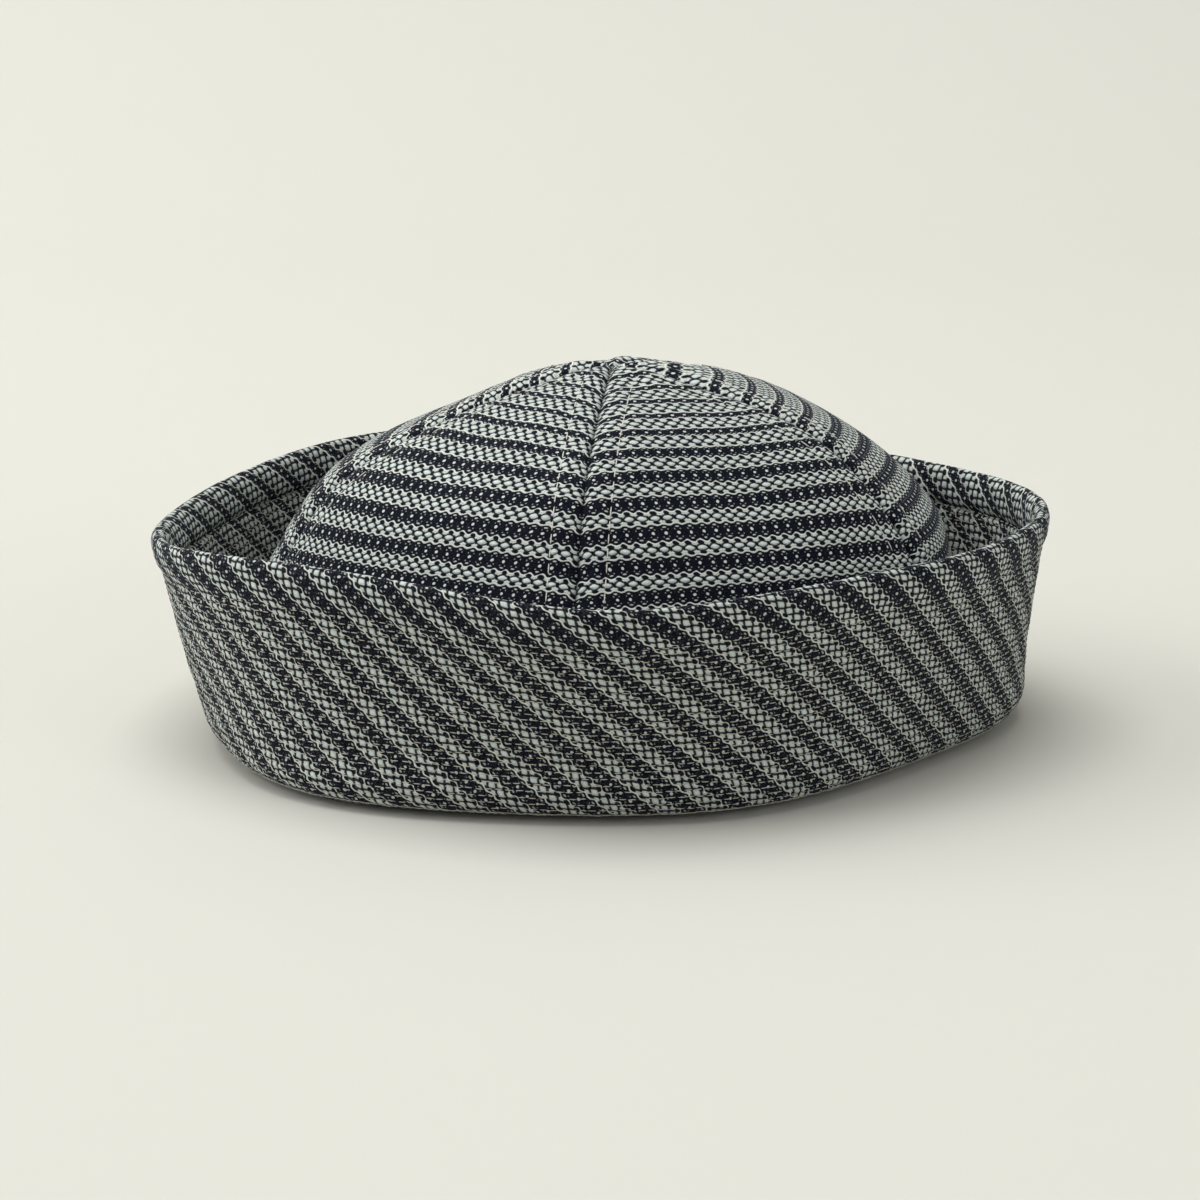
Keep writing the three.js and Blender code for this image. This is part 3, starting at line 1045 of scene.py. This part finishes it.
@dataclass
class CrownGore:
    """One gore of the crown with its groove, topstitched strips and puckers beside the seams."""

    shape: CrownShape
    centre: Vector
    stripes: StripeGuide
    number: int
    columns: int = 96
    rows: int = 110
    seam_depth: float = 1.0
    seam_width: float = 3.2
    crease_depth: float = 0.8
    crease_width: float = 0.75
    tip_widening: float = 0.1
    widening_reach: tuple[float, float] = (-62.0, -30.0)
    crease_shade: float = 0.75
    crease_shade_width: float = 0.4
    topstitch_distance: float = 6.7
    channel_depth: float = 0.32
    channel_width: float = 1.0
    allowance_width: float = 9.0
    allowance_thickness: float = 0.5
    pucker: float = 0.4
    pucker_distance: float = 4.5
    pucker_width: float = 7.0
    waver: float = 0.8
    width_samples: int = 17

    @property
    def middle(self) -> float:
        """Return the azimuth of the middle of the gore."""
        return FRONT_SEAM_AZIMUTH + self.shape.gore_angle * (self.number + 0.5)

    def profile(self, azimuth: float, share: float) -> tuple[Vector, Vector]:
        """Return the surface as a radius and height, and the way out of it, both in that plane."""
        step = 0.004
        radius, height = self.shape.surface(azimuth, share)
        low = Vector(self.shape.surface(azimuth, max(share - step, 0)))
        high = Vector(self.shape.surface(azimuth, min(share + step, 1)))
        run = (high - low).normalized()
        return Vector((radius, height)), Vector((run.y, -run.x))

    def relief(self, azimuth: float, share: float, radius: float) -> float:
        """Return how far the cloth lies outside the plain surface, in millimetres."""
        to_seam = math.radians(self.shape.gore_angle) * 0.5 * (1 - self.shape.from_middle(azimuth)) * radius
        groove = self.seam_depth * math.exp(-(to_seam / self.seam_width) ** 2)
        crease = self.crease_depth * math.exp(-(to_seam / self.crease_width) ** 2)
        from_stitches = to_seam - self.topstitch_distance
        channel = self.channel_depth * math.exp(-(from_stitches / self.channel_width) ** 2)
        turn = math.radians(azimuth)
        side = 1.0 if (azimuth - self.middle) > 0 else -1.0
        along = Vector((share * 34 + 3.1 * self.number, side * 2.0, to_seam * 0.04))
        beside = math.exp(-((to_seam - self.pucker_distance) / self.pucker_width) ** 2)
        pucker = self.pucker * beside * noise.noise(along)
        place = Vector((math.sin(turn) * 2.2, math.cos(turn) * 2.2, share * 3.0))
        broad = self.waver * noise.noise(place * 1.3 + Vector((0, 3.7, 0)))
        near_tip = smooth_step(radius, 1.0, 12.0)
        low_down = smooth_step(share, 0.0, 0.2)
        return (broad + pucker) * near_tip * low_down - (groove + crease) * low_down - channel * near_tip

    def point(self, azimuth: float, share: float, inwards: float = 0.0) -> Vector:
        """Return a point of the cloth in metres."""
        place, out = self.profile(azimuth, share)
        radius = place.x
        place += out * (self.relief(azimuth, share, radius) - inwards)
        return (around(azimuth, max(place.x, 0.0), place.y) - self.centre) * MM

    def sheet(self, mesh: bmesh.types.BMesh, inner: bool) -> dict[int, tuple[float, float]]:
        """Add one face of the cloth to a mesh.

        Args:
            mesh: the mesh that the sheet is added to.
            inner: whether this is the face towards the head.

        Returns:
            For each new vertex, its across and share, for laying the pattern.
        """
        made = bmesh.ops.create_grid(mesh, x_segments=self.columns, y_segments=self.rows, size=1.0)["verts"]
        mesh.verts.index_update()
        spots: dict[int, tuple[float, float]] = {}
        half = 0.5 * self.shape.gore_angle
        for vertex in made:
            plain = vertex.co.x
            across = 0.4 * plain + 0.6 * math.sin(0.5 * math.pi * plain)
            share = (vertex.co.y + 1) / 2
            spots[vertex.index] = (across, share)
            inwards = 0.0
            if inner:
                radius = self.shape.surface(self.middle, share)[0]
                to_seam = math.radians(half) * (1 - abs(across)) * radius
                folded = smooth_step(self.allowance_width - to_seam, -0.3, 0.3)
                inwards = self.shape.wall + self.allowance_thickness * folded
            vertex.co = self.point(self.middle + across * half, share, inwards)
        return spots

    def widths(self, share: float) -> np.ndarray:
        """Return the distance along the cloth from the gore's middle to evenly spaced places across it."""
        half = 0.5 * self.shape.gore_angle
        line = []
        for across in np.linspace(-1, 1, self.width_samples):
            azimuth = self.middle + half * float(across)
            line.append(around(azimuth, *self.shape.surface(azimuth, share)))
        lengths = np.cumsum([0.0] + [(end - start).length for start, end in zip(line, line[1:])])
        return lengths - lengths[self.width_samples // 2]

    def build(self, cloth: bpy.types.Material) -> bpy.types.Object:
        """Make the gore.

        Args:
            cloth: its finish.

        Returns:
            The gore, which stands for the CAD panel of its place.
        """
        gore = bmesh.new()
        spots = self.sheet(gore, inner=False)
        spots.update(self.sheet(gore, inner=True))
        widths = {share: self.widths(share) for share in sorted({share for across, share in spots.values()})}
        places = np.linspace(-1, 1, self.width_samples)
        flat: dict[int, tuple[float, float]] = {}
        for index, (across, share) in spots.items():
            azimuth = self.middle + across * 0.5 * self.shape.gore_angle
            along = float(np.interp(across, places, widths[share]))
            flat[index] = (along, self.stripes.place(azimuth, share, across))
        shade = gore.verts.layers.float.new("crease")
        widen = gore.verts.layers.float.new("widen")
        gore.verts.ensure_lookup_table()
        for index, (across, share) in spots.items():
            # Painted shade along each seam's crease, strongest right at the seam.
            to_seam = (1 - abs(across)) * float(np.interp(share, self.stripes.shares, self.stripes.reach))
            near = math.exp(-(to_seam / self.crease_shade_width) ** 2)
            gore.verts[index][shade] = self.crease_shade * near
            up = float(np.interp(share, self.stripes.shares, self.stripes.up))
            gore.verts[index][widen] = self.tip_widening * smooth_step(up, *self.widening_reach)
        rim = [edge for edge in gore.edges if edge.is_boundary]
        bmesh.ops.bridge_loops(gore, edges=rim)
        layer = gore.loops.layers.uv.new("cloth")
        for face in gore.faces:
            for loop in face.loops:
                loop[layer].uv = flat[loop.vert.index]
        bmesh.ops.remove_doubles(gore, verts=gore.verts, dist=0.004 * MM)
        bmesh.ops.recalc_face_normals(gore, faces=gore.faces)
        piece = mesh_object(f"crown_gore_{self.number + 1}", gore, cloth)
        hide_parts(f"crown_panel_{self.number + 1}")
        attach(piece, "root")
        return piece


@dataclass
class CrownTopstitch:
    """A row of longer stitches on each side of every crown seam."""

    gores: list[CrownGore]
    pitch: float = 3.5
    proud: float = 0.06
    hidden_share: float = 0.1
    samples: int = 401
    stitch: Stitches = field(default_factory=lambda: Stitches(2.7, 0.32, 0.32))

    def places(self) -> list[tuple[Vector, Vector, Vector]]:
        """Return the centre, direction and outward direction of each stitch."""
        found = []
        for gore in self.gores:
            for side in (-1, 1):
                found.extend(self.line(gore, side))
        return found

    def azimuth(self, gore: CrownGore, side: int, share: float) -> float:
        """Return the azimuth of the line of stitches beside a seam."""
        half = 0.5 * gore.shape.gore_angle
        radius = gore.shape.surface(gore.middle + side * half, share)[0]
        away = math.degrees(gore.topstitch_distance / max(radius, 1.0))
        return gore.middle + side * (half - away)

    def line(self, gore: CrownGore, side: int) -> list[tuple[Vector, Vector, Vector]]:
        """Return the places beside one seam of a gore.

        Args:
            gore: the gore.
            side: -1 for the seam at its lower azimuth and 1 for the other.

        Returns:
            Centre, direction and outward direction of each stitch from low to high.
        """
        chooser = random.Random(100 * gore.number + side)
        kept = []
        for step in range(self.samples):
            share = self.hidden_share + (1 - self.hidden_share) * step / (self.samples - 1)
            radius = gore.shape.surface(gore.middle, share)[0]
            away = math.degrees(gore.topstitch_distance / max(radius, 1.0))
            if away < 0.5 * gore.shape.gore_angle - 1.5:
                kept.append(gore.point(self.azimuth(gore, side, share), share))
        lengths = [0.0]
        for start, end in zip(kept, kept[1:]):
            lengths.append(lengths[-1] + (end - start).length)
        count = int(lengths[-1] / (self.pitch * MM))
        line = np.array(kept)
        found = []
        for number in range(count):
            middle = (number + 0.5 + chooser.uniform(-0.05, 0.05)) * self.pitch * MM
            spots = []
            for offset in (-0.5, 0.0, 0.5):
                at = middle + offset * self.stitch.length * MM
                spots.append(Vector([float(np.interp(at, lengths, line[:, axis])) for axis in range(3)]))
            ahead = spots[2] - spots[0]
            heart = -self.gores[0].centre * MM + Vector((0, 0, 0.03))
            out = spots[1] - heart
            beside = ahead.cross(out)
            out = beside.cross(ahead).normalized()
            found.append((spots[1] + out * self.proud * MM, ahead, out))
        return found

    def build(self, thread: bpy.types.Material) -> bpy.types.Object:
        """Sew the seams and return the joined stitches."""
        return self.stitch.build("crown_topstitch", self.places(), thread)


class Lamp(NamedTuple):
    """A square soft light: where it stands and how wide it is in metres, and its power in watts."""

    name: str
    place: tuple[float, float, float]
    size: float
    watts: float


@dataclass
class Studio:
    """Pale floor that curves up behind, soft lights and the camera of the photograph. Metres."""

    axis: Vector
    look_height: float = 0.045
    elevation: float = 13.5
    distance: float = 0.8
    image_size: int = 1200
    focal_pixels: float = 3246.0
    axis_column: float = 612.6
    axis_row: float = 540.7
    floor_half: float = 3.0
    floor_back: float = 0.75
    sweep_radius: float = 0.6
    wall_height: float = 3.0
    room_strength: float = 0.34
    lamps: tuple[Lamp, ...] = (
        Lamp("key", (-2.8, 0.1, 1.35), 2.8, 66.0),
        Lamp("overhead", (-0.4, 0.1, 2.7), 2.0, 54.0),
        Lamp("fill", (2.3, -1.9, 1.1), 1.5, 14.0),
    )

    def camera(self) -> None:
        """Place the camera so that the point on the cap's axis falls on its pixel."""
        target = self.axis + Vector((0, 0, self.look_height))
        tilt = math.radians(self.elevation)
        back = Vector((0, -math.cos(tilt), math.sin(tilt)))
        forward = -back
        right = Vector((1, 0, 0))
        above = right.cross(forward)
        middle = self.image_size / 2
        aim = forward - right * ((self.axis_column - middle) / self.focal_pixels)
        aim -= above * ((middle - self.axis_row) / self.focal_pixels)
        data = bpy.data.cameras.new("camera")
        data.sensor_width = 36.0
        data.lens = self.focal_pixels / self.image_size * data.sensor_width
        data.clip_end = 50.0
        camera = bpy.data.objects.new("camera", data)
        camera.location = target + back * self.distance
        camera.rotation_euler = aim.to_track_quat("-Z", "Y").to_euler()
        bpy.context.scene.collection.objects.link(camera)
        bpy.context.scene.camera = camera

    def light(self, lamp: Lamp) -> None:
        """Add a soft light that faces the cap."""
        data = bpy.data.lights.new(lamp.name, "AREA")
        data.size = lamp.size
        data.energy = lamp.watts
        made = bpy.data.objects.new(lamp.name, data)
        made.location = lamp.place
        way = Vector((0, 0, self.look_height)) - Vector(lamp.place)
        made.rotation_euler = way.to_track_quat("-Z", "Y").to_euler()
        bpy.context.scene.collection.objects.link(made)

    def backdrop(self) -> None:
        """Make the floor with its sweep and wall."""
        sweep = bmesh.new()
        front = -self.floor_half
        start = sweep.verts.new((-self.floor_half, front, 0))
        end = sweep.verts.new((self.floor_half, front, 0))
        edge = sweep.edges.new((start, end))

        def pull(edges: list[bmesh.types.BMEdge], way: Vector) -> list[bmesh.types.BMEdge]:
            """Extrude edges along a way and return the new ones."""
            made = bmesh.ops.extrude_edge_only(sweep, edges=edges)["geom"]
            points = [part for part in made if isinstance(part, bmesh.types.BMVert)]
            bmesh.ops.translate(sweep, verts=points, vec=way)
            lines = [part for part in made if isinstance(part, bmesh.types.BMEdge)]
            return [line for line in lines if all(point in points for point in line.verts)]

        edges = pull([edge], Vector((0, self.floor_back - front, 0)))
        pivot = Vector((0, self.floor_back, self.sweep_radius))
        turned = bmesh.ops.spin(
            sweep, geom=edges + [v for e in edges for v in e.verts], cent=pivot, axis=(1, 0, 0),
            angle=math.radians(90), steps=24, use_merge=False, use_duplicate=False,
        )["geom_last"]
        pull([g for g in turned if isinstance(g, bmesh.types.BMEdge)], Vector((0, 0, self.wall_height)))
        bmesh.ops.remove_doubles(sweep, verts=sweep.verts, dist=MM)
        bmesh.ops.recalc_face_normals(sweep, faces=sweep.faces)
        material = bpy.data.materials.new("pale_paper")
        material.use_nodes = True
        shader = material.node_tree.nodes["Principled BSDF"]
        shader.inputs["Base Color"].default_value = linear(207, 206, 198)
        shader.inputs["Roughness"].default_value = 0.95
        shader.inputs["Specular IOR Level"].default_value = 0.1
        floor = mesh_object("studio_floor", sweep, material)

    def world(self) -> None:
        """Light the room evenly."""
        world = bpy.data.worlds.new("room")
        world.use_nodes = True
        background = world.node_tree.nodes["Background"]
        background.inputs["Color"].default_value = (1.0, 1.0, 1.0, 1.0)
        background.inputs["Strength"].default_value = self.room_strength
        bpy.context.scene.world = world

    def build(self) -> None:
        """Set up everything that isn't the cap."""
        bpy.context.scene.view_settings.view_transform = "Standard"
        self.camera()
        self.backdrop()
        self.world()
        for lamp in self.lamps:
            self.light(lamp)


def main() -> None:
    """Build the cap and its studio."""
    logging.basicConfig(level=logging.INFO, format="%(name)s: %(message)s")
    brim_shape = BrimShape()
    crown_shape = CrownShape(brim_shape)
    centre = plan_centre(brim_shape)
    Studio(axis=-centre * MM).build()

    crown_cloth = DobbyCloth("crown_cloth", phase=0.5, period=7.37).build()
    brim_cloth = DobbyCloth(
        "brim_cloth", phase=0.3, period=7.5, mark_strength=0.85, flecks=0.08, hollow_lean=0.1,
        hollows=((-0.172, 1.8, 1.1), (0.0, 0.7, 1.0), (0.165, 1.9, 0.84)), line_colour=linear(191, 196, 188),
        lozenge_height=1.5, lozenge_shape=Shape.DIAMOND, ring_width=4.1, ring_height=2.5,
    ).build()
    thread = Thread("beige_thread").build()
    pale_thread = Thread("pale_thread", linear(226, 223, 212), linear(196, 192, 178)).build()

    brim = Brim(brim_shape, centre)
    made = [brim.build(brim_cloth)]
    made += BrimStitching(brim).build(thread)
    stripes = StripeGuide(crown_shape)
    gores = [CrownGore(crown_shape, centre, stripes, number) for number in range(crown_shape.gores)]
    made += [gore.build(crown_cloth) for gore in gores]
    made.append(CrownTopstitch(gores).build(pale_thread))
    for piece in made:
        triangles = sum(len(polygon.vertices) - 2 for polygon in piece.data.polygons)
        log.info("%s has %d triangles", piece.name, triangles)

    bpy.context.view_layer.update()


if __name__ == "__main__":
    main()
